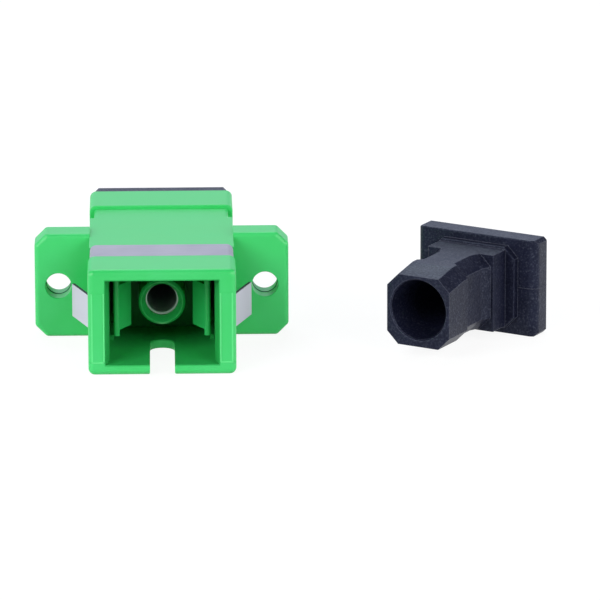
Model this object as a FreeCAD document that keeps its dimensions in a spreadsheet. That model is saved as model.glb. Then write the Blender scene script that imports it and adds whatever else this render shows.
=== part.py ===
import FreeCAD, Part
import math
import os
import Sketcher
from FreeCAD import Placement, Rotation, Vector

# A flanged fibre adapter for one square push-pull plug at each end, with its two dust caps.
# Millimetres. The origin is on the ports' axis, in the middle of the flange's thickness.
# +X runs along the flange, +Y towards the rear port and +Z up, away from the key slots.

# Driving dimensions: the alias of each cell of the sheet, its size, and what it measures
SIZES = [
    # housing
    ("overall_length", 27.2, "front port face to rear port face"),
    ("port_width", 9.05, "width of each port"),
    ("port_height", 7.45, "height of each port"),
    ("side_wall", 1.8, "thickness of the collar's side walls"),
    ("roof_wall", 0.925, "thickness of the collar's roof and floor"),
    ("collar_length", 4.8, "length of the collar round the front port"),
    ("rear_collar_length", 5.5, "length of the collar round the rear port"),
    ("collar_round", 0.55, "radius of the collar's long edges"),
    ("face_round", 0.5, "radius round the outline of each port face"),
    ("collar_back_round", 0.12, "radius round the other end of each collar"),
    ("side_setback", 0.075, "step from the collar's side in to the body's"),
    ("top_setback", 0.31, "step from the collar's top down to the body's top"),
    ("floor_setback", 0.17, "step from the collar's underside up to the body's"),
    ("recess_length", 3.75, "length of the clip recess behind each collar"),
    ("recess_depth", 0.35, "how far the clip recess is cut into each side wall"),
    ("flange_setback", 0.03, "step from the collar's top and underside to the flange's"),
    ("flange_thickness", 3.0, "thickness of the flange"),
    ("flange_corner", 1.0, "bevel across each corner of the flange"),
    ("flange_round", 0.4, "radius round the flange's front and rear outline"),
    ("screw_pitch", 18.0, "distance between the two screw holes"),
    ("screw_hole", 2.25, "diameter of each screw hole"),
    ("screw_bevel", 0.06, "bevel at both ends of each screw hole"),
    ("screw_margin", 2.05, "distance from each screw hole's middle to the flange's end"),
    ("mouth_flare", 0.35, "how far each side of the port widens at its face"),
    ("mouth_depth", 1.5, "length of that lead-in"),
    ("seam_rise", 0.225, "height of the lid's seam above the port floor"),
    ("seam_bevel", 0.05, "bevel of both outer edges along the seam"),
    ("groove_depth", 0.6, "depth of the grooves in the side walls that hold the latch holders"),
    ("key_width", 2.13, "width of the key slot"),
    ("key_length", 7.9, "length of the key slot, from the port face to its round end"),
    ("key_round", 0.25, "radius of the key slot's outer corners"),
    ("rib_width", 0.35, "width of the lid's locating ribs"),
    ("rib_height", 0.4, "height of the lid's locating ribs above the port floor"),
    ("rib_setback", 7.9, "distance from the port face to the end of the ribs"),
    ("seat_gap", 0.02, "clearance where one piece seats in another"),
    # latch holders
    ("plate_thickness", 1.5, "thickness of each holder's base plate"),
    ("tube_wall", 0.375, "wall of the sleeve tube"),
    ("tube_setback", 6.6, "distance from the port face to the end of the tube"),
    ("tube_bevel", 0.2, "bevel at the outer end of the tube"),
    ("lip_cover", 0.19, "how far the lip that keeps the sleeve in covers the sleeve's end"),
    ("lip_length", 0.35, "length of that lip"),
    ("funnel_flare", 0.35, "how far the funnel at the end of the tube widens from the lip"),
    ("funnel_length", 0.8, "length of that funnel"),
    ("arm_gap", 0.36, "gap between each arm and the port's side wall"),
    ("arm_thickness", 0.52, "thickness of each arm"),
    ("arm_margin", 1.225, "gap between the arms' edges and the port's roof and floor"),
    ("arm_setback", 4.75, "distance from the port face to the tips of the arms"),
    ("barb_reach", 0.98, "how far each barb stands out from its arm"),
    ("barb_margin", 0.5, "distance from the arm's edges to the barb's"),
    ("barb_start", 0.25, "distance from the arm's tip to where the barb starts"),
    ("barb_rise", 1.67, "length of the barb's slope"),
    ("barb_land", 0.12, "length of the flat behind the barb's peak"),
    # alignment sleeve
    ("sleeve_diameter", 3.2, "outside diameter of the sleeve"),
    ("sleeve_bore", 2.5, "bore of the sleeve"),
    ("sleeve_slit", 0.5, "width of the slit along the sleeve"),
    ("sleeve_round", 0.08, "bevel at the ends of the sleeve"),
    ("sleeve_gap", 0.05, "clearance round the sleeve"),
    ("sleeve_play", 0.15, "how far the sleeve can float to each side"),
    # panel clip
    ("sheet_thickness", 0.27, "thickness of the spring steel"),
    ("clip_play", 0.08, "play of the clip along its recess"),
    ("leg_setback", 0.38, "height of the legs' ends above the body's underside"),
    ("clip_bend", 0.3, "inside radius of the clip's two bends"),
    ("tab_height", 2.9, "height of each tab"),
    ("tab_drop", 0.64, "how far the tabs' middle lies below the axis"),
    ("tab_length", 4.64, "length of each tab"),
    ("tab_angle", 20.3, "angle in degrees at which each tab stands out"),
    ("tab_slit", 0.15, "width of the slit above and below each tab"),
    ("tab_root", 0.8, "distance from the strip's front edge to the root of the tabs"),
    # dust caps
    ("cap_side_inset", 0.45, "how far the cap's plate stays inside the collar at each side"),
    ("cap_top_inset", 0.325, "how far it stays inside the collar at its top and underside"),
    ("cap_thickness", 2.2, "thickness of the cap's plate"),
    ("cap_corner", 0.3, "bevel across each corner of the plate"),
    ("cap_round", 0.75, "radius of the plate's upright edges at the front"),
    ("cap_edge", 0.25, "radius round the back of the plate"),
    ("cap_front_edge", 0.1, "radius of the plate's upper and lower front edge"),
    ("pad_side_gap", 0.425, "gap between the raised pad and the port's sides"),
    ("pad_top_gap", 0.075, "gap between the raised pad and the port's roof and floor"),
    ("pad_thickness", 0.7, "thickness of the raised pad"),
    ("pad_corner", 1.0, "bevel across each corner of the pad"),
    ("pad_soft", 0.09, "radius round the pad's outline"),
    ("block_side_gap", 1.3, "gap between the block behind the neck and the port's sides"),
    ("block_top_gap", 0.275, "gap between that block and the port's roof and floor"),
    ("block_length", 2.22, "length of that block"),
    ("block_soft", 0.09, "radius of the block's upright edges"),
    ("neck_gap", 0.12, "gap between the neck and each barb"),
    ("neck_step", 0.25, "step from the block in to the foot of the neck"),
    ("neck_flare", 1.0, "length over which the foot of the neck widens"),
    ("head_play", 0.03, "play between the barbs and the shoulder of the cap's head"),
    ("shoulder_length", 0.45, "length of the sloping shoulder behind the head"),
    ("head_side_gap", 0.605, "gap between the head and each arm"),
    ("head_floor_gap", 0.425, "gap between the head's underside and the port's floor"),
    ("head_length", 3.35, "length of the head"),
    ("head_corner", 1.08, "bevel across each corner of the head and the neck"),
    ("lead_length", 2.6, "length of the head's nose, whose top slopes down"),
    ("lead_drop", 0.48, "drop of that slope"),
    ("cap_wall", 0.4, "wall of the head beside its bore"),
    ("cap_bore_bevel", 0.12, "bevel at the mouth of that bore"),
    ("cap_bore_length", 3.2, "length over which that bore narrows"),
    ("cap_tube_gap", 0.125, "clearance of the narrow bore round the sleeve tube"),
    ("cap_bore_depth", 9.4, "depth of the cap's bore in all"),
    # where the loose cap lies
    ("loose_right", 27.5, "how far the loose cap lies to the right of the adapter's axis"),
    ("loose_angle", 31.0, "angle in degrees by which the loose cap is turned"),
]

doc = FreeCAD.newDocument("fibre_adapter")
sheet = doc.addObject("Spreadsheet::Sheet", "sizes")
for row, (alias, number, meaning) in enumerate(SIZES, start=1):
    sheet.set(f"A{row}", meaning)
    sheet.set(f"B{row}", str(number))
    sheet.setAlias(f"B{row}", alias)
doc.recompute()


class Size:
    """A size in millimetres, with the sheet's expression that gives it."""

    def __init__(self, number, text):
        self.number = number
        self.text = text

    def __add__(self, other):
        other = as_size(other)
        return Size(self.number + other.number, f"({self.text} + {other.text})")

    def __sub__(self, other):
        other = as_size(other)
        return Size(self.number - other.number, f"({self.text} - {other.text})")

    def __mul__(self, other):
        other = as_size(other)
        return Size(self.number * other.number, f"({self.text} * {other.text})")

    def __truediv__(self, divisor):
        return Size(self.number / divisor, f"({self.text} / {divisor})")

    def __neg__(self):
        return Size(-self.number, f"(-1 * {self.text})")


def as_size(value):
    return value if isinstance(value, Size) else Size(float(value), f"({value})")


def sine(angle):
    return Size(math.sin(math.radians(angle.number)), f"sin({angle.text} * 1 deg)")


def cosine(angle):
    return Size(math.cos(math.radians(angle.number)), f"cos({angle.text} * 1 deg)")


size = {alias: Size(number, f"sizes.{alias}") for alias, number, meaning in SIZES}

half_length = size["overall_length"] / 2
port_side = size["port_width"] / 2
port_top = size["port_height"] / 2
seam = -port_top + size["seam_rise"]
groove_side = port_side + size["groove_depth"]
collar_top = port_top + size["roof_wall"]
collar_side = port_side + size["side_wall"]
body_top = collar_top - size["top_setback"]
body_floor = -collar_top + size["floor_setback"]
body_side = collar_side - size["side_setback"]
recess_front = half_length - size["collar_length"]
rear_collar_back = half_length - size["rear_collar_length"]
recess_rear = recess_front - size["recess_length"]
recess_side = body_side - size["recess_depth"]
sleeve_room = size["sleeve_diameter"] / 2 + size["sleeve_gap"]
tube_side = sleeve_room + size["tube_wall"]
tube_end = half_length - size["tube_setback"]
sleeve_stop = tube_end - size["funnel_length"] - size["lip_length"]
arm_inner = port_side - size["arm_gap"] - size["arm_thickness"]
arm_tip = half_length - size["arm_setback"]
barb_side = arm_inner - size["barb_reach"]
barb_peak = arm_tip - size["barb_start"] - size["barb_rise"]
barb_heel = barb_peak - size["barb_land"]
cap_top = collar_top - size["cap_top_inset"]


# Helpers: bodies, sketches whose corners are tied to the sheet, and the features made from them

def body(name):
    part = doc.addObject("PartDesign::Body", name)
    part.Label = name
    return part


def origin_plane(part, role):
    return next(plane for plane in part.Origin.OriginFeatures if plane.Role == role)


def sketch(part, name, role, shift=None):
    """A sketch on one of the body's own planes, moved along its normal by shift.

    The normal of XY_Plane is +Z, of XZ_Plane -Y and of YZ_Plane +X.
    """
    drawing = part.newObject("Sketcher::SketchObject", name)
    drawing.AttachmentSupport = [(origin_plane(part, role), "")]
    drawing.MapMode = "FlatFace"
    if shift is not None:
        drawing.AttachmentOffset = Placement(Vector(0, 0, shift.number), Rotation())
        drawing.setExpression("AttachmentOffset.Base.z", shift.text)
    return drawing


def tie(drawing, edge, end, across, up):
    """Tie one point of an edge to its two coordinates."""
    for kind, value in (("DistanceX", across), ("DistanceY", up)):
        value = as_size(value)
        index = drawing.addConstraint(Sketcher.Constraint(kind, -1, 1, edge, end, value.number))
        drawing.setExpression(f"Constraints[{index}]", value.text)


def outline(drawing, corners, arcs=()):
    """A closed outline through the corners, of straight lines and of the arcs that are given.

    Each arc is (number of the corner where it starts, its centre, True if it runs anticlockwise).
    """
    first = drawing.GeometryCount
    count = len(corners)
    points = [Vector(as_size(x).number, as_size(y).number, 0) for x, y in corners]
    ends = [(1, 2)] * count
    curved = {number: (centre, anticlockwise) for number, centre, anticlockwise in arcs}
    for i in range(count):
        start, end = points[i], points[(i + 1) % count]
        if i not in curved:
            drawing.addGeometry(Part.LineSegment(start, end), False)
            continue
        (x, y), anticlockwise = curved[i]
        middle = Vector(as_size(x).number, as_size(y).number, 0)
        if not anticlockwise:
            start, end = end, start
            ends[i] = (2, 1)
        turns = [math.atan2(point.y - middle.y, point.x - middle.x) for point in (start, end)]
        if turns[1] < turns[0]:
            turns[1] += 2 * math.pi
        ring = Part.Circle(middle, Vector(0, 0, 1), (start - middle).Length)
        drawing.addGeometry(Part.ArcOfCircle(ring, turns[0], turns[1]), False)
    for i in range(count):
        after = (i + 1) % count
        drawing.addConstraint(
            Sketcher.Constraint("Coincident", first + i, ends[i][1], first + after, ends[after][0]))
    for i, (x, y) in enumerate(corners):
        tie(drawing, first + i, ends[i][0], x, y)
    for i, ((x, y), anticlockwise) in curved.items():
        height = as_size(y)
        index = drawing.addConstraint(
            Sketcher.Constraint("DistanceY", -1, 1, first + i, 3, height.number))
        drawing.setExpression(f"Constraints[{index}]", height.text)


def rectangle(drawing, left, right, low, high):
    outline(drawing, [(left, low), (right, low), (right, high), (left, high)])


def bevelled(drawing, half_width, low, high, corner):
    """A rectangle with its four corners cut off."""
    x = half_width
    outline(drawing, [
        (-x + corner, low), (x - corner, low), (x, low + corner), (x, high - corner),
        (x - corner, high), (-x + corner, high), (-x, high - corner), (-x, low + corner)])


def circle(drawing, across, up, diameter):
    edge = drawing.addGeometry(
        Part.Circle(Vector(as_size(across).number, as_size(up).number, 0), Vector(0, 0, 1),
                    diameter.number / 2), False)
    tie(drawing, edge, 3, across, up)
    index = drawing.addConstraint(Sketcher.Constraint("Diameter", edge, diameter.number))
    drawing.setExpression(f"Constraints[{index}]", diameter.text)


def pad(part, drawing, length, both_ways=False, backwards=False):
    feature = part.newObject("PartDesign::Pad", drawing.Name + "_pad")
    feature.Profile = drawing
    feature.Length = length.number
    feature.setExpression("Length", length.text)
    feature.Midplane = both_ways
    feature.Reversed = backwards
    doc.recompute()
    return feature


def pocket(part, drawing, length=None, both_ways=False, backwards=False):
    """A cut that goes right through, or as deep as length, and that must take something away."""
    before = part.Shape.Volume
    feature = part.newObject("PartDesign::Pocket", drawing.Name + "_cut")
    feature.Profile = drawing
    if length is None:
        feature.Type = "ThroughAll"
    else:
        feature.Length = length.number
        feature.setExpression("Length", length.text)
    feature.Midplane = both_ways
    feature.Reversed = backwards
    doc.recompute()
    if part.Shape.Volume > before - 1e-4:
        raise RuntimeError(f"{feature.Name} cuts nothing")
    return feature


def loft(part, name, sections):
    """A form with flat faces through the sections, from the first to the last."""
    doc.recompute()
    feature = part.newObject("PartDesign::AdditiveLoft", name)
    feature.Profile = sections[0]
    feature.Sections = sections[1:]
    feature.Ruled = True
    doc.recompute()
    return feature


def revolve(part, drawing, axis="V_Axis", cut=False):
    kind = "Groove" if cut else "Revolution"
    feature = part.newObject("PartDesign::" + kind, drawing.Name + "_turned")
    feature.Profile = drawing
    feature.ReferenceAxis = (drawing, [axis])
    feature.Angle = 360
    doc.recompute()
    return feature


def mirrored(part, features, role):
    """Copies of the features on the other side of one of the body's planes."""
    feature = part.newObject("PartDesign::Mirrored", features[0].Name + "_mirror")
    feature.Originals = features
    feature.MirrorPlane = (origin_plane(part, role), [""])
    part.Tip = feature
    doc.recompute()
    return feature


def dress(part, kind, name, chosen, amount):
    """A fillet or chamfer along the edges of the body that chosen accepts."""
    base = part.Tip
    edges = [f"Edge{i}" for i, edge in enumerate(base.Shape.Edges, start=1) if chosen(edge)]
    if not edges:
        raise RuntimeError(f"{name} finds no edge")
    feature = part.newObject("PartDesign::" + kind, name)
    feature.Base = (base, edges)
    prop = "Radius" if kind == "Fillet" else "Size"
    setattr(feature, prop, amount.number)
    feature.setExpression(prop, amount.text)
    doc.recompute()
    return feature


def is_straight(edge):
    if len(edge.Vertexes) != 2:
        return False
    span = edge.Vertexes[1].Point - edge.Vertexes[0].Point
    return edge.Length - span.Length < 1e-6


def runs_along(edge, axis):
    """True for a straight edge along the axis, given as a unit vector."""
    if not is_straight(edge):
        return False
    span = edge.Vertexes[1].Point - edge.Vertexes[0].Point
    return span.cross(axis).Length < 1e-6


def near(value, target):
    return abs(value - as_size(target).number) < 1e-4


# Housing body: top, side walls, flange and collars in one moulding, open below

def collar_outline(drawing, low, high):
    rectangle(drawing, -collar_side, collar_side, low, high)


def clip_recesses(part):
    """The shallow recess in both side walls, behind each collar."""
    drawing = sketch(part, part.Name + "_recess", "XY_Plane")
    for low, high in ((-recess_front, -recess_rear), (recess_rear, rear_collar_back)):
        rectangle(drawing, recess_side, collar_side, low, high)
        rectangle(drawing, -collar_side, -recess_side, low, high)
    pocket(part, drawing, both_ways=True)


def mouths(part):
    """The sloping lead-in at both sides of each port."""
    drawing = sketch(part, part.Name + "_mouth", "XY_Plane", port_top)
    inner = half_length - size["mouth_depth"]
    mouth_side = port_side + size["mouth_flare"]
    outline(drawing, [(-mouth_side, -half_length), (mouth_side, -half_length),
                      (port_side, -inner), (-port_side, -inner)])
    outline(drawing, [(-port_side, inner), (port_side, inner),
                      (mouth_side, half_length), (-mouth_side, half_length)])
    pocket(part, drawing, size["port_height"])


def holder_groove(part):
    """The groove across the middle that takes the base plates of both latch holders."""
    drawing = sketch(part, part.Name + "_groove", "XY_Plane", port_top)
    reach = size["plate_thickness"] + size["seat_gap"]
    rectangle(drawing, -groove_side, groove_side, -reach, reach)
    pocket(part, drawing, size["port_height"])


def collars(part, low, high, name):
    """The wider collar at both ends of the housing."""
    front = sketch(part, "front_" + name, "XZ_Plane", half_length)
    collar_outline(front, low, high)
    pad(part, front, size["collar_length"], backwards=True)
    rear = sketch(part, "rear_" + name, "XZ_Plane", -half_length)
    collar_outline(rear, low, high)
    pad(part, rear, size["rear_collar_length"])


def on_port_face(edge):
    return all(near(abs(vertex.Y), half_length) for vertex in edge.Vertexes)


def on_outer_outline(edge):
    """True for the edges round the outside of a collar's end."""
    return (all(near(abs(vertex.X), collar_side) for vertex in edge.Vertexes)
            or all(near(abs(vertex.Z), collar_top) for vertex in edge.Vertexes)
            or not is_straight(edge))


def on_collar_outline(edge):
    return on_port_face(edge) and on_outer_outline(edge)


def on_collar_back(edge):
    return (all(near(vertex.Y, -recess_front) for vertex in edge.Vertexes)
            or all(near(vertex.Y, rear_collar_back) for vertex in edge.Vertexes)) and on_outer_outline(edge)


def on_seam(edge):
    """True for the edges of a collar's outside along the lid's seam."""
    return all(near(vertex.Z, seam) for vertex in edge.Vertexes) and (
        all(near(abs(vertex.X), collar_side) for vertex in edge.Vertexes)
        or on_port_face(edge) or not is_straight(edge))


def long_collar_edge(edge):
    return runs_along(edge, Vector(0, 1, 0)) and all(
        near(abs(vertex.X), collar_side) and near(abs(vertex.Z), collar_top)
        for vertex in edge.Vertexes)


def make_housing_body():
    part = body("housing_body")
    flange_side = size["screw_pitch"] / 2 + size["screw_margin"]
    flange_top = collar_top - size["flange_setback"]

    plate = sketch(part, "flange", "XZ_Plane")
    bevelled(plate, flange_side, -flange_top, flange_top, size["flange_corner"])
    pad(part, plate, size["flange_thickness"], both_ways=True)
    flange_front = size["flange_thickness"] / 2
    dress(part, "Fillet", "flange_soft_edges", lambda edge: all(
        near(abs(vertex.Y), flange_front) for vertex in edge.Vertexes), size["flange_round"])

    notches = sketch(part, "flange_notches", "XZ_Plane")
    rectangle(notches, -body_side, body_side, body_top, flange_top)
    rectangle(notches, -body_side, body_side, -flange_top, seam)
    pocket(part, notches, both_ways=True)

    holes = sketch(part, "screw_holes", "XZ_Plane")
    for side in (-1, 1):
        circle(holes, size["screw_pitch"] * side / 2, 0, size["screw_hole"])
    pocket(part, holes, both_ways=True)
    dress(part, "Chamfer", "screw_hole_edges", lambda edge: len(edge.Vertexes) == 1 and near(
        abs(edge.Vertexes[0].Y), flange_front), size["screw_bevel"])

    core = sketch(part, "body_section", "XZ_Plane")
    rectangle(core, -body_side, body_side, seam, body_top)
    pad(part, core, size["overall_length"], both_ways=True)
    collars(part, seam, collar_top, "body_collar")
    clip_recesses(part)
    dress(part, "Fillet", "collar_edges", long_collar_edge, size["collar_round"])
    dress(part, "Fillet", "collar_back_edges", on_collar_back, size["collar_back_round"])
    dress(part, "Fillet", "recess_edges", lambda edge: runs_along(edge, Vector(0, 1, 0)) and all(
        near(abs(vertex.X), recess_side) and near(vertex.Z, body_top)
        for vertex in edge.Vertexes), size["clip_bend"])

    cavity = sketch(part, "body_port", "XZ_Plane")
    rectangle(cavity, -port_side, port_side, seam, port_top)
    pocket(part, cavity, both_ways=True)
    mouths(part)
    holder_groove(part)
    dress(part, "Fillet", "body_face_edges", on_collar_outline, size["face_round"])
    dress(part, "Chamfer", "body_seam_edges", on_seam, size["seam_bevel"])
    return part


# Housing lid: the floor of both ports, welded on along the seam

def make_housing_lid():
    part = body("housing_lid")
    floor = -port_top

    core = sketch(part, "lid_section", "XZ_Plane")
    rectangle(core, -body_side, body_side, body_floor, seam)
    pad(part, core, size["overall_length"], both_ways=True)
    collars(part, -collar_top, seam, "lid_collar")
    clip_recesses(part)
    dress(part, "Fillet", "lid_collar_edges", long_collar_edge, size["collar_round"])
    dress(part, "Fillet", "lid_collar_back_edges", on_collar_back, size["collar_back_round"])

    cavity = sketch(part, "lid_port", "XZ_Plane")
    rectangle(cavity, -port_side, port_side, floor, seam)
    pocket(part, cavity, both_ways=True)
    mouths(part)
    holder_groove(part)

    ribs = sketch(part, "locating_ribs", "XY_Plane", floor)
    outer = port_side - size["seat_gap"]
    inner = outer - size["rib_width"]
    start = size["plate_thickness"] + size["seat_gap"] * 2
    end = half_length - size["rib_setback"]
    for low, high in ((-end, -start), (start, end)):
        rectangle(ribs, inner, outer, low, high)
        rectangle(ribs, -outer, -inner, low, high)
    pad(part, ribs, size["rib_height"])

    dress(part, "Fillet", "lid_face_edges", on_collar_outline, size["face_round"])
    dress(part, "Chamfer", "lid_seam_edges", on_seam, size["seam_bevel"])
    key_slots(part)
    return part


def key_slots(part):
    """The slot in the floor of each port: full round at its end, with its outer corners rounded."""
    side = size["key_width"] / 2
    straight = half_length - size["key_length"] + side
    plan = sketch(part, "key_slot_plan", "XY_Plane")
    outline(plan, [(-side, -half_length), (side, -half_length), (side, -straight), (-side, -straight)],
            arcs=[(2, (0, -straight), True)])
    outline(plan, [(side, half_length), (-side, half_length), (-side, straight), (side, straight)],
            arcs=[(2, (0, straight), True)])
    pocket(part, plan, collar_top * 2)
    corner = size["key_round"]
    wide = side + corner
    level = -collar_top + corner
    section = sketch(part, "key_slot_corners", "XZ_Plane", half_length)
    outline(section, [(-wide, -collar_top), (wide, -collar_top), (side, level), (-side, level)],
            arcs=[(1, (wide, level), False), (3, (-wide, level), False)])
    front = pocket(part, section, half_length - straight)
    mirrored(part, [front], "XZ_Plane")


# Latch holders: two equal mouldings, back to back, each with two barbed arms and half the sleeve tube

def make_latch_holder(name, turn):
    part = body(name)
    thickness = size["plate_thickness"]

    plate = sketch(part, name + "_plate", "XZ_Plane")
    plate_side = groove_side - size["seat_gap"]
    plate_top = port_top - size["seat_gap"]
    rectangle(plate, -plate_side, plate_side, -plate_top, plate_top)
    pad(part, plate, thickness)

    tube = sketch(part, name + "_tube", "XY_Plane")
    bevel = size["tube_bevel"]
    outline(tube, [(0, 0), (tube_side, 0), (tube_side, -tube_end + bevel),
                   (tube_side - bevel, -tube_end), (0, -tube_end)])
    revolve(part, tube)

    arm = sketch(part, name + "_arm", "XY_Plane")
    arm_outer = arm_inner + size["arm_thickness"]
    arm_top = port_top - size["arm_margin"]
    rectangle(arm, arm_inner, arm_outer, -arm_tip, -thickness)
    arm_pad = pad(part, arm, arm_top * 2, both_ways=True)
    barb = sketch(part, name + "_barb", "XY_Plane")
    barb_foot = -arm_tip + size["barb_start"]
    middle = arm_inner + size["arm_thickness"] / 2
    outline(barb, [(middle, barb_foot), (arm_inner, barb_foot), (barb_side, -barb_peak),
                   (barb_side, -barb_heel), (middle, -barb_heel)])
    barb_pad = pad(part, barb, (arm_top - size["barb_margin"]) * 2, both_ways=True)
    mirrored(part, [arm_pad, barb_pad], "YZ_Plane")
    dress(part, "Fillet", name + "_arm_tips", lambda edge: runs_along(edge, Vector(0, 0, 1)) and all(
        near(vertex.Y, -arm_tip) for vertex in edge.Vertexes), size["arm_thickness"] * 0.4)
    dress(part, "Fillet", name + "_arm_roots", lambda edge: runs_along(edge, Vector(0, 0, 1)) and all(
        near(vertex.Y, -thickness) and (near(abs(vertex.X), arm_inner) or near(abs(vertex.X), arm_outer))
        for vertex in edge.Vertexes), size["arm_thickness"] / 2)

    bore = sketch(part, name + "_bore", "XY_Plane")
    lip = size["sleeve_diameter"] / 2 - size["lip_cover"]
    lip_end = sleeve_stop + size["lip_length"]
    outline(bore, [(0, 0), (sleeve_room, 0), (sleeve_room, -sleeve_stop), (lip, -sleeve_stop),
                   (lip, -lip_end), (lip + size["funnel_flare"], -tube_end), (0, -tube_end)])
    revolve(part, bore, cut=True)
    part.Placement = Placement(Vector(0, 0, 0), Rotation(Vector(0, 0, 1), turn))
    return part


# Alignment sleeve: a thin ceramic tube with a slit along its top, loose in the two holders

def make_alignment_sleeve():
    part = body("alignment_sleeve")
    outer = size["sleeve_diameter"] / 2
    inner = size["sleeve_bore"] / 2
    end = sleeve_stop - size["sleeve_play"]
    bevel = size["sleeve_round"]
    wall = sketch(part, "sleeve_wall", "XY_Plane")
    outline(wall, [(inner, -end + bevel), (inner + bevel, -end), (outer - bevel, -end),
                   (outer, -end + bevel), (outer, end - bevel), (outer - bevel, end),
                   (inner + bevel, end), (inner, end - bevel)])
    revolve(part, wall)
    slit = sketch(part, "sleeve_slit_outline", "XZ_Plane")
    rectangle(slit, -size["sleeve_slit"] / 2, size["sleeve_slit"] / 2, 0, outer * 2)
    pocket(part, slit, both_ways=True)
    return part


# Panel clip: a strip of spring steel folded over the body, with a tab sprung out at each side

def make_panel_clip():
    part = body("panel_clip")
    sheet_metal = size["sheet_thickness"]
    inside = recess_side + size["seat_gap"]
    outside = inside + sheet_metal
    under = body_top + size["seat_gap"]
    over = under + sheet_metal
    foot = body_floor + size["leg_setback"]
    front = recess_front - size["seat_gap"]
    strip_width = size["recess_length"] - size["seat_gap"] - size["clip_play"]

    strip = sketch(part, "clip_section", "XZ_Plane", front)
    outline(strip, [(-outside, foot), (-inside, foot), (-inside, under), (inside, under),
                    (inside, foot), (outside, foot), (outside, over), (-outside, over)])
    pad(part, strip, strip_width, backwards=True)
    for name, side, height, radius in (
            ("clip_inner_bends", inside, under, size["clip_bend"]),
            ("clip_outer_bends", outside, over, size["clip_bend"] + sheet_metal)):
        dress(part, "Fillet", name, lambda edge: runs_along(edge, Vector(0, 1, 0)) and all(
            near(abs(vertex.X), side) and near(vertex.Z, height) for vertex in edge.Vertexes), radius)

    root = front - size["tab_root"]
    back = front - strip_width
    half_opening = size["tab_height"] / 2 + size["tab_slit"]
    middle = -size["tab_drop"]
    window = sketch(part, "clip_window", "YZ_Plane")
    rectangle(window, -root, -back, middle - half_opening, middle + half_opening)
    pocket(part, window, both_ways=True)

    across = sine(size["tab_angle"])
    along = cosine(size["tab_angle"])
    tab = sketch(part, "clip_tab", "XY_Plane", middle)
    end_x = inside + size["tab_length"] * across
    end_y = -root + size["tab_length"] * along
    outline(tab, [(inside, -root), (end_x, end_y),
                  (end_x + sheet_metal * along, end_y - sheet_metal * across),
                  (inside + sheet_metal * along, -root - sheet_metal * across)])
    tab_pad = pad(part, tab, size["tab_height"], both_ways=True)
    mirrored(part, [tab_pad], "YZ_Plane")
    return part


# Dust caps: two equal mouldings, drawn with the plate's front on the XZ plane and the nose towards -Y

def make_dust_cap(name):
    part = body(name)
    plate_side = collar_side - size["cap_side_inset"]
    thickness = size["cap_thickness"]
    block_end = size["pad_thickness"] + size["block_length"]
    neck_end = half_length + size["seat_gap"] - (barb_heel - size["head_play"])
    head_back = neck_end + size["shoulder_length"]
    nose = head_back + size["head_length"]
    lead_start = nose - size["lead_length"]
    block_top = port_top - size["block_top_gap"]
    head_floor = -port_top + size["head_floor_gap"]
    head_side = arm_inner - size["head_side_gap"]
    corner = size["head_corner"]

    plate = sketch(part, name + "_plate", "XZ_Plane")
    rectangle(plate, -plate_side, plate_side, -cap_top, cap_top)
    pad(part, plate, thickness, backwards=True)
    dress(part, "Fillet", name + "_upright_edges", lambda edge: runs_along(edge, Vector(0, 0, 1)) and all(
        near(vertex.Y, 0) for vertex in edge.Vertexes), size["cap_round"])
    corners = sketch(part, name + "_plate_corners", "XZ_Plane")
    cut = size["cap_corner"]
    for side in (-1, 1):
        outline(corners, [(plate_side * side, cap_top * side), ((plate_side - cut) * side, cap_top * side),
                          (plate_side * side, (cap_top - cut) * side)])
        outline(corners, [(plate_side * side, -cap_top * side), (plate_side * side, (-cap_top + cut) * side),
                          ((plate_side - cut) * side, -cap_top * side)])
    pocket(part, corners, both_ways=True)
    dress(part, "Fillet", name + "_back_edges", lambda edge: all(
        near(vertex.Y, thickness) for vertex in edge.Vertexes), size["cap_edge"])
    dress(part, "Fillet", name + "_front_edges", lambda edge: runs_along(edge, Vector(1, 0, 0)) and all(
        near(vertex.Y, 0) for vertex in edge.Vertexes), size["cap_front_edge"])

    raised = sketch(part, name + "_pad", "XZ_Plane")
    pad_top = port_top - size["pad_top_gap"]
    bevelled(raised, port_side - size["pad_side_gap"], -pad_top, pad_top, size["pad_corner"])
    pad(part, raised, size["pad_thickness"])
    dress(part, "Fillet", name + "_pad_edges", lambda edge: all(
        near(vertex.Y, -size["pad_thickness"]) for vertex in edge.Vertexes), size["pad_soft"])
    block = sketch(part, name + "_block", "XZ_Plane", size["pad_thickness"])
    block_side = port_side - size["block_side_gap"]
    rectangle(block, -block_side, block_side, -block_top, block_top)
    pad(part, block, size["block_length"])
    dress(part, "Fillet", name + "_block_edges", lambda edge: runs_along(edge, Vector(0, 0, 1)) and all(
        near(vertex.Y, -block_end) for vertex in edge.Vertexes), size["block_soft"])

    neck_start = block_end + size["neck_flare"]
    neck_side = barb_side - size["neck_gap"]
    sections = []
    for station, place_y, half_width, top in (
            ("neck_foot", block_end, block_side - size["neck_step"], block_top),
            ("neck_start", neck_start, neck_side, block_top),
            ("neck_end", neck_end, neck_side, block_top),
            ("head_back", head_back, head_side, block_top),
            ("lead_start", lead_start, head_side, block_top),
            ("nose", nose, head_side, block_top - size["lead_drop"])):
        section = sketch(part, f"{name}_{station}", "XZ_Plane", place_y)
        bevelled(section, half_width, head_floor, top, corner)
        sections.append(section)
    loft(part, name + "_neck_and_head", sections)

    bore = sketch(part, name + "_bore", "XY_Plane")
    wide_bore = head_side - size["cap_wall"]
    inner_bore = tube_side + size["cap_tube_gap"]
    bevel = size["cap_bore_bevel"]
    bottom = -nose + size["cap_bore_depth"]
    outline(bore, [(0, -nose), (wide_bore + bevel, -nose), (wide_bore, -nose + bevel),
                   (inner_bore, -nose + size["cap_bore_length"]), (inner_bore, bottom), (0, bottom)])
    revolve(part, bore, cut=True)
    return part


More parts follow.
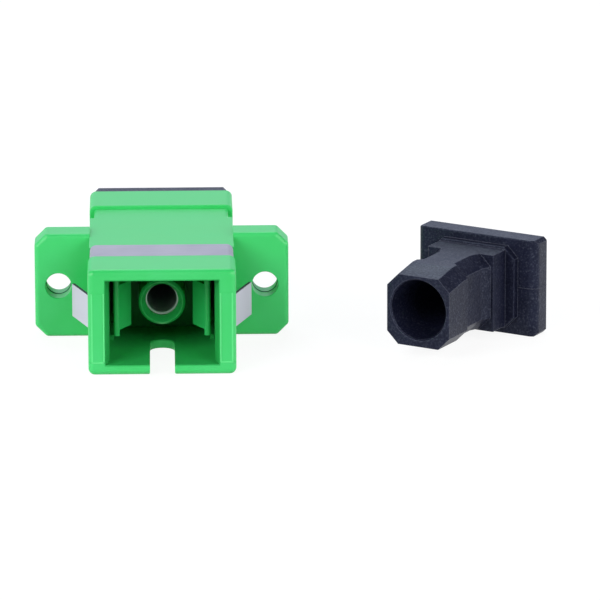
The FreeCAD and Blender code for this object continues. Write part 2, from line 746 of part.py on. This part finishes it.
def place(part, right, back, up, turn=None):
    """Put a sub-part at its place, turned about the vertical."""
    angle = as_size(0) if turn is None else turn
    part.Placement = Placement(Vector(right.number, back.number, up.number),
                               Rotation(Vector(0, 0, 1), angle.number))
    for letter, value in (("x", right), ("y", back), ("z", up)):
        part.setExpression("Placement.Base." + letter, value.text)


make_housing_body()
make_housing_lid()
make_latch_holder("front_latch_holder", 0)
make_latch_holder("rear_latch_holder", 180)
make_alignment_sleeve()
make_panel_clip()
rear_cap = make_dust_cap("rear_dust_cap")
place(rear_cap, as_size(0), half_length + size["seat_gap"], as_size(0))
loose_cap = make_dust_cap("front_dust_cap")
place(loose_cap, size["loose_right"], as_size(0), cap_top - collar_top, -size["loose_angle"])
doc.recompute()

# Check every object, then write one file for each piece
for item in doc.Objects:
    if "Invalid" in item.State or "Error" in item.State:
        raise RuntimeError(f"{item.Name} failed: {item.State}")
os.makedirs("parts", exist_ok=True)
for item in doc.findObjects("PartDesign::Body"):
    shape = item.Shape
    if shape.isNull() or not shape.isValid():
        raise RuntimeError(f"{item.Label} has no valid shape")
    if len(shape.Solids) != 1:
        raise RuntimeError(f"{item.Label} has {len(shape.Solids)} solids")
    shape.exportStep(f"parts/{item.Label}.step")
    print(f"{item.Label}: {shape.Volume:.2f} cubic mm")
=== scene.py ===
import math

import bmesh
import bpy
from mathutils import Matrix, Vector


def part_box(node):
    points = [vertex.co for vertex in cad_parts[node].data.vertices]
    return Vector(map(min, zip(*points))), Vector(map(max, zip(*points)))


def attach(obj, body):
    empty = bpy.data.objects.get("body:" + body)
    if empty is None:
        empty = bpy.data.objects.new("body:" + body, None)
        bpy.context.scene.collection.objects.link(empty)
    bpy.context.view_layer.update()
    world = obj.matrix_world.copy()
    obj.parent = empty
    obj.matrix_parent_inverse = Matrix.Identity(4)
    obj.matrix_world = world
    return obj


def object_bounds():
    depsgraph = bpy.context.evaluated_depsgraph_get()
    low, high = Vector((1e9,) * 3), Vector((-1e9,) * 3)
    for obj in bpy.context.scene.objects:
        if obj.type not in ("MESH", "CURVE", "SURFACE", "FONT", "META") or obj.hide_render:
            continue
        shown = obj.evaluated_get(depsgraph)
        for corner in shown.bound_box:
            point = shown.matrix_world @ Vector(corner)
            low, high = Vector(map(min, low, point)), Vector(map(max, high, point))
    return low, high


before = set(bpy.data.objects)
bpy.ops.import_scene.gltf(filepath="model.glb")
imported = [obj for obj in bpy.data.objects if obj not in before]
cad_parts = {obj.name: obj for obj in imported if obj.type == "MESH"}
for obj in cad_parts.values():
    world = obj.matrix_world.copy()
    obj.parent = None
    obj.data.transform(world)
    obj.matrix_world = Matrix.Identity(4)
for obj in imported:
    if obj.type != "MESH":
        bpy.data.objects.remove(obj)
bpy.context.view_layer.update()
mm = 0.001

# Housing: the body with its flange, and the lid that closes it from below. Both are moulded in one
# bright green plastic. Inside the ports its colour is darkened as painted shade, and its gloss is lower.

flange_back = 1.5 * mm
port_side = 4.90 * mm
port_top = 3.80 * mm
port_painted_shade = (0.70, 0.72, 0.66, 1)
inside_gloss = 0.4
inside_fade = 0.06 * mm
line_core = 0.01 * mm
line_reach = 0.035 * mm
line_tone = -0.35
line_relief = 1.5
edge_round = 0.08 * mm
grain_detail = 3.0
grain_roughness = 0.6
green_grain_height = 0.004 * mm
moulded_green = (0.019, 0.55, 0.100, 1)
pale_green = (0.046, 0.59, 0.158, 1)


def add(tree, kind, inputs=None, **settings):
    """A node with its settings, and with its inputs set to values or linked to other sockets."""
    made = tree.nodes.new(kind)
    for name, value in settings.items():
        setattr(made, name, value)
    for socket, value in (inputs or {}).items():
        if isinstance(value, bpy.types.NodeSocket):
            tree.links.new(value, made.inputs[socket])
        else:
            made.inputs[socket].default_value = value
    return made


def mix(tree, factor, first, second, **settings):
    """The mix of two colours, each a value or a socket."""
    colours = {"Factor": factor, "A": first, "B": second}
    return add(tree, "ShaderNodeMix", colours, data_type="RGBA", **settings).outputs["Result"]


def within(tree, value, near, far):
    """1 where a value's size is under near, falling to 0 at far."""
    size = add(tree, "ShaderNodeMath", {0: value}, operation="ABSOLUTE")
    falling = add(tree, "ShaderNodeMapRange", {
        "Value": size.outputs[0], "From Min": near, "From Max": far, "To Min": 1.0, "To Max": 0.0})
    return falling.outputs[0]


def moulded_skin_group():
    """The skin of a moulded part: its fine grain, the faint clouds of its flow, and hairline scuffs."""
    group = bpy.data.node_groups.new("moulded_skin", "ShaderNodeTree")
    sockets = group.interface
    for name, value in (("Grain", 6000.0), ("Flow", 260.0), ("Scuffs", 0.5),
                        ("Roughness", 0.35), ("Roughness Spread", 0.1)):
        sockets.new_socket(name, in_out="INPUT", socket_type="NodeSocketFloat").default_value = value
    for name in ("Tone", "Roughness", "Height"):
        sockets.new_socket(name, in_out="OUTPUT", socket_type="NodeSocketFloat")
    given = group.nodes.new("NodeGroupInput").outputs
    result = group.nodes.new("NodeGroupOutput")
    place = add(group, "ShaderNodeTexCoord").outputs["Object"]
    grain = add(group, "ShaderNodeTexNoise",
                {"Vector": place, "Scale": given["Grain"], "Detail": grain_detail,
                 "Roughness": grain_roughness})
    flow = add(group, "ShaderNodeTexNoise",
               {"Vector": place, "Scale": given["Flow"], "Detail": 2.0, "Distortion": 0.6})
    lines = add(group, "ShaderNodeTexNoise",
                {"Vector": place, "Scale": 420.0, "Detail": 1.0, "Distortion": 2.2})
    from_line = add(group, "ShaderNodeMath", {0: lines.outputs["Fac"], 1: 0.5}, operation="SUBTRACT")
    hairline = within(group, from_line.outputs[0], 0.0, 0.004)
    patches = add(group, "ShaderNodeTexNoise", {"Vector": place, "Scale": 310.0, "Detail": 2.0})
    where = add(group, "ShaderNodeMapRange", {
        "Value": patches.outputs["Fac"], "From Min": 0.6, "From Max": 0.68})
    here = add(group, "ShaderNodeMath", {0: hairline, 1: where.outputs[0]}, operation="MULTIPLY")
    scuff = add(group, "ShaderNodeMath", {0: here.outputs[0], 1: given["Scuffs"]}, operation="MULTIPLY")
    tone = add(group, "ShaderNodeMath", {0: flow.outputs["Fac"], 1: scuff.outputs[0]}, operation="ADD",
               use_clamp=True)
    uneven = add(group, "ShaderNodeMath", {0: flow.outputs["Fac"], 1: 0.5}, operation="SUBTRACT")
    rough = add(group, "ShaderNodeMath", {
        0: uneven.outputs[0], 1: given["Roughness Spread"], 2: given["Roughness"]},
        operation="MULTIPLY_ADD")
    duller = add(group, "ShaderNodeMath", {0: scuff.outputs[0], 1: 0.25, 2: rough.outputs[0]},
                 operation="MULTIPLY_ADD")
    height = add(group, "ShaderNodeMath", {0: scuff.outputs[0], 1: -0.8, 2: grain.outputs["Fac"]},
                 operation="MULTIPLY_ADD")
    for name, socket in (("Tone", tone), ("Roughness", duller), ("Height", height)):
        group.links.new(socket.outputs[0], result.inputs[name])
    return group


moulded_skin = moulded_skin_group()


def material(name):
    """A new material, with its node tree and its one shader."""
    made = bpy.data.materials.new(name)
    made.use_nodes = True
    return made, made.node_tree, made.node_tree.nodes["Principled BSDF"]


def moulded_plastic(name, dark, pale, grain_height, values, witness_line=None, edge_highlight=None, specks=None):
    """A moulded plastic between two near colours, with a fine grain.

    It may have a line across it where the tool parts, pale specks on the crests of its grain, and edges
    whose shading is rounded, with a painted highlight along them.
    """
    made, tree, shader = material(name)
    surface = tree.nodes.new("ShaderNodeGroup")
    surface.node_tree = moulded_skin
    for socket, value in values.items():
        surface.inputs[socket].default_value = value
    tone, height = surface.outputs["Tone"], surface.outputs["Height"]
    if witness_line is not None:
        place = add(tree, "ShaderNodeTexCoord").outputs["Object"]
        along = add(tree, "ShaderNodeSeparateXYZ", {"Vector": place}).outputs["Y"]
        from_line = add(tree, "ShaderNodeMath", {0: along, 1: witness_line}, operation="SUBTRACT")
        line = within(tree, from_line.outputs[0], line_core, line_reach)
        tone = add(tree, "ShaderNodeMath", {0: line, 1: line_tone, 2: tone},
                   operation="MULTIPLY_ADD", use_clamp=True).outputs[0]
        height = add(tree, "ShaderNodeMath", {0: line, 1: line_relief, 2: height},
                     operation="MULTIPLY_ADD").outputs[0]
    tree.links.new(surface.outputs["Roughness"], shader.inputs["Roughness"])
    bump = add(tree, "ShaderNodeBump", {"Height": height, "Strength": 0.5, "Distance": grain_height})
    shown = mix(tree, tone, dark, pale)
    if specks is not None:
        crest = add(tree, "ShaderNodeMapRange", {
            "Value": surface.outputs["Height"], "From Min": 0.56, "From Max": 0.70})
        shown = mix(tree, crest.outputs[0], shown, specks)
    # Painted highlight: edges found by the bevel are mixed towards a paler colour.
    if edge_highlight is not None:
        rounded = add(tree, "ShaderNodeBevel", {"Radius": edge_round}, samples=6).outputs["Normal"]
        flat = add(tree, "ShaderNodeNewGeometry").outputs["True Normal"]
        turn = add(tree, "ShaderNodeVectorMath", {0: rounded, 1: flat}, operation="DOT_PRODUCT")
        highlit_edge = add(tree, "ShaderNodeMapRange", {
            "Value": turn.outputs["Value"], "From Min": 0.99, "From Max": 0.9})
        shown = mix(tree, highlit_edge.outputs[0], shown, edge_highlight)
        tree.links.new(rounded, bump.inputs["Normal"])
    tree.links.new(shown, shader.inputs["Base Color"])
    tree.links.new(bump.outputs["Normal"], shader.inputs["Normal"])
    return made, shader


def paint_shade_inside(plastic, shader, reaches, shade):
    """Paint shade into a plastic, darkening and dulling it where it lies within the reach given for each
    axis.
    """
    tree = plastic.node_tree
    place = add(tree, "ShaderNodeTexCoord").outputs["Object"]
    parts = add(tree, "ShaderNodeSeparateXYZ", {"Vector": place}).outputs
    inside = 1.0
    for axis, reach in reaches.items():
        near = within(tree, parts[axis], reach, reach + inside_fade)
        inside = add(tree, "ShaderNodeMath", {0: near, 1: inside}, operation="MULTIPLY").outputs[0]
    colour = shader.inputs["Base Color"].links[0].from_socket
    # Painted shade: the colour is multiplied darker inside the reach.
    darker = mix(tree, inside, colour, shade, blend_type="MULTIPLY")
    tree.links.new(darker, shader.inputs["Base Color"])
    level = shader.inputs["Specular IOR Level"]
    matt = add(tree, "ShaderNodeMapRange", {
        "Value": inside, "To Min": level.default_value, "To Max": level.default_value * inside_gloss})
    tree.links.new(matt.outputs[0], level)


def wear(names, finish):
    """Give CAD nodes a finish of this script's."""
    for name in names:
        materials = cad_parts[name].data.materials
        materials.clear()
        materials.append(finish)


def piece(name, mesh, finish, body):
    """A finished piece at the origin, with its place in its mesh, riding on a CAD body."""
    bmesh.ops.recalc_face_normals(mesh, faces=mesh.faces)
    data = bpy.data.meshes.new(name)
    mesh.to_mesh(data)
    mesh.free()
    data.materials.append(finish)
    made = bpy.data.objects.new(name, data)
    bpy.context.scene.collection.objects.link(made)
    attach(made, body)


green_plastic, green_shader = moulded_plastic(
    "green_plastic", moulded_green, pale_green, green_grain_height,
    {"Grain": 5200.0, "Flow": 240.0, "Scuffs": 0.7, "Roughness": 0.44, "Roughness Spread": 0.12},
    witness_line=flange_back)
green_shader.inputs["Specular IOR Level"].default_value = 0.6
# Painted shade inside the ports, where the walls lie within port_side and port_top.
paint_shade_inside(green_plastic, green_shader, {"X": port_side, "Z": port_top}, port_painted_shade)
wear(["housing_body", "housing_lid"], green_plastic)

# Parting lines inside the screw holes: the two halves of the tool meet in the middle of the flange,
# so each hole has a hair of flash all round, half way through, coloured dark as painted shade.

screw_pitch = 18.0 * mm
screw_hole = 2.25 * mm
flash_height = 0.06 * mm
flash_width = 0.12 * mm
flash_root = 0.01 * mm
hole_steps = 96
flash_painted_shade = (0.012, 0.10, 0.06, 1)
pale_flash_painted_shade = (0.02, 0.16, 0.09, 1)
root = screw_hole / 2 + flash_root
crest = screw_hole / 2 - flash_height
profile = [(root, -flash_width / 2), (crest, 0), (root, flash_width / 2)]
lines = bmesh.new()
for side in (-1, 1):
    centre = Vector((side * screw_pitch / 2, 0, 0))
    corners = [lines.verts.new(centre + Vector((out, along, 0))) for out, along in profile]
    edges = [lines.edges.new((corners[i - 1], corners[i])) for i in range(len(corners))]
    bmesh.ops.spin(lines, geom=corners + edges, cent=centre, axis=(0, 1, 0), angle=math.tau,
                   steps=hole_steps, use_merge=True)
# Painted shade: the flash rings get a near-black green.
flash_shade_plastic = moulded_plastic(
    "flash_shade_plastic", flash_painted_shade, pale_flash_painted_shade, green_grain_height, {"Roughness": 0.6})[0]
piece("screw_hole_flash", lines, flash_shade_plastic, "adapter")

# Face marks: an inserted steel in the tool leaves a low panel on both side walls at the front port's
# face, from the lid's seam to above the middle. Hairs of flash edge it, coloured pale as a painted
# highlight.

half_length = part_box("housing_body")[1].y
seam_level = -3.50 * mm
panel_high = 2.6 * mm
panel_inner = 5.08 * mm
panel_outer = 5.93 * mm
panel_rise = 0.03 * mm
hair_width = 0.13 * mm
hair_rise = 0.05 * mm
marks_root = 0.03 * mm
marks_bevel = 0.4
mouth_side = 4.99 * mm
face_side = 6.05 * mm
hair_painted_highlight = (0.10, 0.72, 0.22, 1)
# Painted highlight: the hairs are a paler green than the face.
hair_highlight_plastic = moulded_plastic(
    "hair_highlight_plastic", hair_painted_highlight, hair_painted_highlight, green_grain_height,
    {"Grain": 5200.0, "Scuffs": 0.0})[0]
panels = bmesh.new()
hairs = bmesh.new()


def raised_bar(mesh, left, right, low, high, rise):
    """A low bar on the front port's face, with its edges bevelled."""
    size = Vector((right - left, rise + marks_root, high - low))
    middle = Vector(((left + right) / 2, (marks_root - rise) / 2 - half_length, (low + high) / 2))
    corners = bmesh.ops.create_cube(mesh, size=1.0, matrix=Matrix.LocRotScale(middle, None, size))["verts"]
    edges = {edge for corner in corners for edge in corner.link_edges}
    bmesh.ops.bevel(mesh, geom=list(edges), offset=rise * marks_bevel, segments=2, profile=0.5,
                    material=-1, affect="EDGES")


for side in (-1, 1):
    inner, outer = sorted((side * panel_inner, side * panel_outer))
    raised_bar(panels, inner, outer, seam_level, panel_high, panel_rise)
    for upright in (mouth_side, panel_outer + hair_width / 2):
        left = side * upright - hair_width / 2
        raised_bar(hairs, left, left + hair_width, seam_level, panel_high, hair_rise)
    inner, outer = sorted((side * mouth_side, side * face_side))
    raised_bar(hairs, inner, outer, seam_level - hair_width / 2, seam_level + hair_width / 2, hair_rise)
piece("face_panels", panels, green_plastic, "adapter")
piece("face_hairs", hairs, hair_highlight_plastic, "adapter")

# Latch holders: two mouldings in the same green, a little softer and duller, held in the housing by
# its grooves. Their base plates, deep in the ports, carry painted shade that makes them darker than the
# arms and the sleeve's tube.

plate_thickness = 1.5 * mm
plate_painted_shade = (0.40, 0.50, 0.40, 1)
latch_grain_height = 0.003 * mm
latch_green = (0.016, 0.48, 0.095, 1)
pale_latch_green = (0.036, 0.54, 0.14, 1)
latch_plastic, latch_shader = moulded_plastic(
    "latch_plastic", latch_green, pale_latch_green, latch_grain_height,
    {"Grain": 6500.0, "Flow": 420.0, "Scuffs": 0.3, "Roughness": 0.4, "Roughness Spread": 0.1})
latch_shader.inputs["Specular IOR Level"].default_value = 0.35
# Painted shade on the base plates, deep in the ports.
paint_shade_inside(latch_plastic, latch_shader, {"Y": plate_thickness}, plate_painted_shade)
wear(["front_latch_holder", "rear_latch_holder"], latch_plastic)

# Alignment sleeve: a split tube of white ceramic, ground outside and honed inside, so it is smooth
# with very fine rings round it. Its bore is painted grey as shade, and reads as black in the depth of the
# port.

sleeve_bore = 2.5 * mm
shade_edge = 0.04 * mm
white_edge = 0.06 * mm
ground_height = 0.001 * mm
ceramic_white = (0.93, 0.96, 0.93, 1)
pale_white = (0.97, 0.99, 0.97, 1)
bore_painted_shade = (0.33, 0.38, 0.35, 1)
ceramic, tree, ceramic_shader = material("ceramic")
place = add(tree, "ShaderNodeTexCoord").outputs["Object"]
rings = add(tree, "ShaderNodeTexWave", {"Vector": place, "Scale": 9000.0, "Distortion": 1.5},
            bands_direction="Y")
specks = add(tree, "ShaderNodeTexNoise", {"Vector": place, "Scale": 2600.0, "Detail": 4.0})
tint = mix(tree, specks.outputs["Fac"], ceramic_white, pale_white)
across = add(tree, "ShaderNodeVectorMath", {0: place, 1: (1, 0, 1)}, operation="MULTIPLY")
from_axis = add(tree, "ShaderNodeVectorMath", {0: across.outputs[0]}, operation="LENGTH")
outside_bore = add(tree, "ShaderNodeMapRange", {
    "Value": from_axis.outputs["Value"], "From Min": sleeve_bore / 2 + shade_edge,
    "From Max": sleeve_bore / 2 + white_edge})
# Painted shade: the bore's wall is grey, fading to the white of the end face.
shaded_bore = mix(tree, outside_bore.outputs[0], bore_painted_shade, tint)
tree.links.new(shaded_bore, ceramic_shader.inputs["Base Color"])
ground = add(tree, "ShaderNodeBump", {"Height": rings.outputs["Fac"], "Strength": 0.2,
                                      "Distance": ground_height})
tree.links.new(ground.outputs["Normal"], ceramic_shader.inputs["Normal"])
ceramic_shader.inputs["Roughness"].default_value = 0.22
ceramic_shader.inputs["IOR"].default_value = 1.9
wear(["alignment_sleeve"], ceramic)

# Panel clip: a strip of rolled spring steel, cut and bent in a press and pushed over the body from
# above. Its rolling lines run across the body. The sprung tabs are painted brighter than its top, as
# painted light, and the edges that the press cut are dark.

tab_top = 2.4 * mm
tab_fade = 0.8 * mm
rolled_height = 0.002 * mm
rolled_steel = (0.38, 0.37, 0.44, 1)
pale_steel = (0.44, 0.425, 0.50, 1)
tab_painted_light = (0.58, 0.57, 0.65, 1)
cut_steel = (0.07, 0.08, 0.09, 1)
steel, tree, steel_shader = material("spring_steel")
place = add(tree, "ShaderNodeTexCoord").outputs["Object"]
rolled = add(tree, "ShaderNodeMapping", {"Vector": place, "Scale": (120.0, 5200.0, 120.0)})
streaks = add(tree, "ShaderNodeTexNoise", {"Vector": rolled.outputs[0], "Scale": 1.0, "Detail": 4.0,
                                           "Roughness": 0.65})
clouds = add(tree, "ShaderNodeTexNoise", {"Vector": place, "Scale": 330.0, "Detail": 2.0})
both = add(tree, "ShaderNodeMath", {0: streaks.outputs["Fac"], 1: 0.6, 2: clouds.outputs["Fac"]},
           operation="MULTIPLY_ADD")
sheen = add(tree, "ShaderNodeMapRange", {"Value": both.outputs[0], "From Min": 0.55, "From Max": 1.05})
tint = mix(tree, sheen.outputs[0], rolled_steel, pale_steel)
up = add(tree, "ShaderNodeSeparateXYZ", {"Vector": place}).outputs["Z"]
tab = add(tree, "ShaderNodeMapRange", {"Value": up, "From Min": tab_top, "From Max": tab_top + tab_fade,
                                       "To Min": 1.0, "To Max": 0.0})
# Painted light: the tabs below tab_top get a brighter steel colour than the top strip.
tabs_painted_light = mix(tree, tab.outputs[0], tint, tab_painted_light)
facing = add(tree, "ShaderNodeTexCoord").outputs["Normal"]
upward = add(tree, "ShaderNodeSeparateXYZ", {"Vector": facing}).outputs["Z"]
either_way = add(tree, "ShaderNodeMath", {0: upward}, operation="ABSOLUTE")
edge_face = add(tree, "ShaderNodeMapRange", {
    "Value": either_way.outputs[0], "From Min": 0.6, "From Max": 0.8})
cut = add(tree, "ShaderNodeMath", {0: edge_face.outputs[0], 1: tab.outputs[0]}, operation="MULTIPLY")
tree.links.new(mix(tree, cut.outputs[0], tabs_painted_light, cut_steel), steel_shader.inputs["Base Color"])
rough = add(tree, "ShaderNodeMapRange", {"Value": both.outputs[0], "From Min": 0.5, "From Max": 1.1,
                                         "To Min": 0.34, "To Max": 0.46})
tree.links.new(rough.outputs[0], steel_shader.inputs["Roughness"])
grain = add(tree, "ShaderNodeBump", {"Height": streaks.outputs["Fac"], "Strength": 0.35,
                                     "Distance": rolled_height})
tree.links.new(grain.outputs["Normal"], steel_shader.inputs["Normal"])
steel_shader.inputs["Metallic"].default_value = 0.25
steel_shader.inputs["Specular IOR Level"].default_value = 0.0
wear(["panel_clip"], steel)

# Dust caps: one-piece mouldings in a soft black plastic, whose matt grain shines more on its crests
# than in its pits. One is pushed into the rear port. The other is taken off and stands on the edge of
# its plate.

cap_grain = 5600.0
cap_grain_height = 0.05 * mm
cap_black = (0.0032, 0.0038, 0.011, 1)
pale_cap_black = (0.009, 0.0105, 0.027, 1)
edge_highlight_black = (0.085, 0.09, 0.12, 1)
speck_black = (0.032, 0.035, 0.053, 1)
# The caps' edges carry a painted highlight in a paler black.
black_plastic, black_shader = moulded_plastic(
    "black_plastic", cap_black, pale_cap_black, cap_grain_height,
    {"Grain": cap_grain, "Flow": 520.0, "Scuffs": 0.8, "Roughness": 0.42, "Roughness Spread": 0.14},
    edge_highlight=edge_highlight_black, specks=speck_black)
tree = black_plastic.node_tree
place = add(tree, "ShaderNodeTexCoord").outputs["Object"]
grain = add(tree, "ShaderNodeTexNoise", {"Vector": place, "Scale": cap_grain, "Detail": grain_detail,
                                         "Roughness": grain_roughness})
gloss = add(tree, "ShaderNodeMapRange", {"Value": grain.outputs["Fac"], "From Min": 0.40,
                                         "From Max": 0.60, "To Min": 0.20, "To Max": 0.38})
tree.links.new(gloss.outputs[0], black_shader.inputs["Specular IOR Level"])
black_shader.inputs["Specular Tint"].default_value = (0.66, 0.75, 1.0, 1)
wear(["rear_dust_cap", "front_dust_cap"], black_plastic)

# Parting line of each cap: a hair of flash at half height, from the pad round both upright edges of
# the plate to its back.

loose_right = 27.5 * mm
loose_angle = math.radians(31.0)
loose_drop = 0.325 * mm
seat_gap = 0.02 * mm
plate_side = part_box("rear_dust_cap")[1].x
plate_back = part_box("rear_dust_cap")[1].y - half_length
plate_round = 0.75 * mm
pad_side = 4.1 * mm
back_round = 0.25 * mm
turn_steps = 10
cap_flash_height = 0.04 * mm
cap_flash_width = 0.09 * mm


def cap_parting_line(name, body, placed):
    """The hair of flash on one cap, from its pad round both edges of the plate."""
    mesh = bmesh.new()
    profile = [(flash_root, -cap_flash_width / 2), (-cap_flash_height, 0),
               (flash_root, cap_flash_width / 2)]
    corners = [mesh.verts.new((pad_side, out, up)) for out, up in profile]
    section = mesh.faces.new(corners)
    straight = bmesh.ops.extrude_face_region(mesh, geom=[section])["geom"]
    ends = [part for part in straight if isinstance(part, bmesh.types.BMVert)]
    bmesh.ops.translate(mesh, verts=ends, vec=(plate_side - plate_round - pad_side, 0, 0))
    end = next(part for part in straight if isinstance(part, bmesh.types.BMFace))
    turned = bmesh.ops.spin(mesh, geom=[end], cent=(plate_side - plate_round, plate_round, 0),
                            axis=(0, 0, 1), angle=math.pi / 2, steps=turn_steps)["geom_last"]
    end = next(part for part in turned if isinstance(part, bmesh.types.BMFace))
    last = bmesh.ops.extrude_face_region(mesh, geom=[end])["geom"]
    ends = [part for part in last if isinstance(part, bmesh.types.BMVert)]
    bmesh.ops.translate(mesh, verts=ends, vec=(0, plate_back - plate_round - back_round, 0))
    bmesh.ops.mirror(mesh, geom=mesh.verts[:] + mesh.edges[:] + mesh.faces[:], axis="X", merge_dist=0)
    bmesh.ops.transform(mesh, matrix=placed, verts=mesh.verts)
    piece(name, mesh, black_plastic, body)


cap_parting_line("rear_cap_flash", "rear_cap", Matrix.Translation((0, half_length + seat_gap, 0)))
cap_parting_line("front_cap_flash", "adapter",
                 Matrix.Translation((loose_right, 0, -loose_drop)) @ Matrix.Rotation(-loose_angle, 4, "Z"))

# Floor: a sheet of white paper under the part. It shows as white, with the part's shadow faint on it,
# and less of the lamps' light comes back from its front, which lies on the darker side of the room.

floor_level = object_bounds()[0].z
floor_reach = 1.5
dark_from = -0.06
pale_from = -0.02
paper_painted_shade = 0.25
pale_paper = 0.85
shadow_grey = (0.14, 0.14, 0.14, 1)
paper_glow = 0.9
floor_data = bpy.data.meshes.new("floor")
floor_mesh = bmesh.new()
bmesh.ops.create_grid(floor_mesh, x_segments=1, y_segments=1, size=floor_reach)
bmesh.ops.translate(floor_mesh, verts=floor_mesh.verts, vec=(0, 0, floor_level))
floor_mesh.to_mesh(floor_data)
floor_mesh.free()
floor = bpy.data.objects.new("floor", floor_data)
bpy.context.scene.collection.objects.link(floor)
paper, tree, paper_shader = material("white_paper")
tree.nodes.remove(paper_shader)
output = tree.nodes["Material Output"]
path = add(tree, "ShaderNodeLightPath")
seen = add(tree, "ShaderNodeMath", {0: path.outputs["Is Camera Ray"], 1: path.outputs["Is Glossy Ray"]},
           operation="MAXIMUM")
place = add(tree, "ShaderNodeTexCoord").outputs["Object"]
along = add(tree, "ShaderNodeSeparateXYZ", {"Vector": place}).outputs["Y"]
# Painted shade: the floor's front, unseen by the camera, has a darker colour for the light it sends back.
bounce = add(tree, "ShaderNodeMapRange", {"Value": along, "From Min": dark_from, "From Max": pale_from,
                                          "To Min": paper_painted_shade, "To Max": pale_paper})
plain = add(tree, "ShaderNodeBsdfDiffuse", {"Color": bounce.outputs[0]})
shadow_catch = add(tree, "ShaderNodeBsdfDiffuse", {"Color": shadow_grey})
glow = add(tree, "ShaderNodeEmission", {"Color": (1, 1, 1, 1), "Strength": paper_glow})
white = add(tree, "ShaderNodeAddShader", {0: shadow_catch.outputs[0], 1: glow.outputs[0]})
mixed = add(tree, "ShaderNodeMixShader", {0: seen.outputs[0], 1: plain.outputs[0], 2: white.outputs[0]})
tree.links.new(mixed.outputs[0], output.inputs["Surface"])
floor_data.materials.append(paper)

# Studio: a white wall behind the part that gives way to a darker ceiling and a dark room in front.
# Large soft lamps stand in front at the left and right, weaker ones at both sides, and one behind.

wall_colour = (0.78, 0.84, 1.10, 1)
ceiling_colour = (0.10, 0.10, 0.13, 1)
world = bpy.data.worlds.new("studio")
bpy.context.scene.world = world
world.use_nodes = True
tree = world.node_tree
tree.nodes.clear()
direction = add(tree, "ShaderNodeTexCoord").outputs["Generated"]
towards = add(tree, "ShaderNodeSeparateXYZ", {"Vector": direction}).outputs
height = add(tree, "ShaderNodeMapRange", {"Value": towards["Z"], "From Min": 0.2, "From Max": 0.45},
             interpolation_type="SMOOTHSTEP")
depth = add(tree, "ShaderNodeMapRange", {"Value": towards["Y"], "From Min": 0.45, "From Max": 0.95,
                                         "To Min": 0.2, "To Max": 1.2}, interpolation_type="SMOOTHSTEP")
room = mix(tree, height.outputs[0], wall_colour, ceiling_colour)
path = add(tree, "ShaderNodeLightPath")
surroundings = add(tree, "ShaderNodeBackground", {"Color": room, "Strength": depth.outputs[0]})
backdrop = add(tree, "ShaderNodeBackground", {"Color": (1, 1, 1, 1), "Strength": 1.0})
shown = add(tree, "ShaderNodeMixShader", {
    0: path.outputs["Is Camera Ray"], 1: surroundings.outputs[0], 2: backdrop.outputs[0]})
add(tree, "ShaderNodeOutputWorld", {"Surface": shown.outputs[0]})


def soft_lamp(name, place, width, watts, colour=(1, 1, 1)):
    """A square soft lamp that faces the part."""
    data = bpy.data.lights.new(name, "AREA")
    data.size = width
    data.energy = watts
    data.color = colour
    lamp = bpy.data.objects.new(name, data)
    bpy.context.scene.collection.objects.link(lamp)
    lamp.location = place
    lamp.rotation_euler = (-Vector(place)).to_track_quat("-Z", "Y").to_euler()


soft_lamp("left_lamp", (-0.52, -0.58, 0.44), width=0.50, watts=5.4)
soft_lamp("right_lamp", (0.52, -0.60, 0.40), width=0.50, watts=4.1)
soft_lamp("left_side_lamp", (-0.80, 0.02, 0.22), width=0.40, watts=2.2)
soft_lamp("right_side_lamp", (0.80, 0.02, 0.22), width=0.40, watts=2.6)
soft_lamp("back_lamp", (-0.10, 0.45, 0.55), width=0.55, watts=2.8, colour=(0.80, 0.90, 1.0))

# Camera: a long lens half a metre in front of the part and a little above it, aimed at its middle.
# Small turns from there put the part where the photograph has it and leave room on the right.

camera_distance = 0.532
camera_elevation = math.radians(15.45)
camera_lens = 365.3
pan = math.radians(-1.301)
tilt = math.radians(-0.184)
roll = math.radians(-0.508)
camera_data = bpy.data.cameras.new("camera")
camera_data.sensor_width = 36.0
camera_data.lens = camera_lens
camera_data.clip_start = 0.01
camera = bpy.data.objects.new("camera", camera_data)
bpy.context.scene.collection.objects.link(camera)
rise = math.sin(camera_elevation)
reach = math.cos(camera_elevation)
level = Matrix(((1, 0, 0), (0, rise, -reach), (0, reach, rise))).to_4x4()
aim = Matrix.Rotation(roll, 4, "Z") @ Matrix.Rotation(pan, 4, "Y") @ Matrix.Rotation(tilt, 4, "X")
away = Matrix.Translation((0, -camera_distance * reach, camera_distance * rise))
camera.matrix_world = away @ level @ aim
bpy.context.scene.camera = camera
bpy.context.scene.view_settings.view_transform = "Standard"
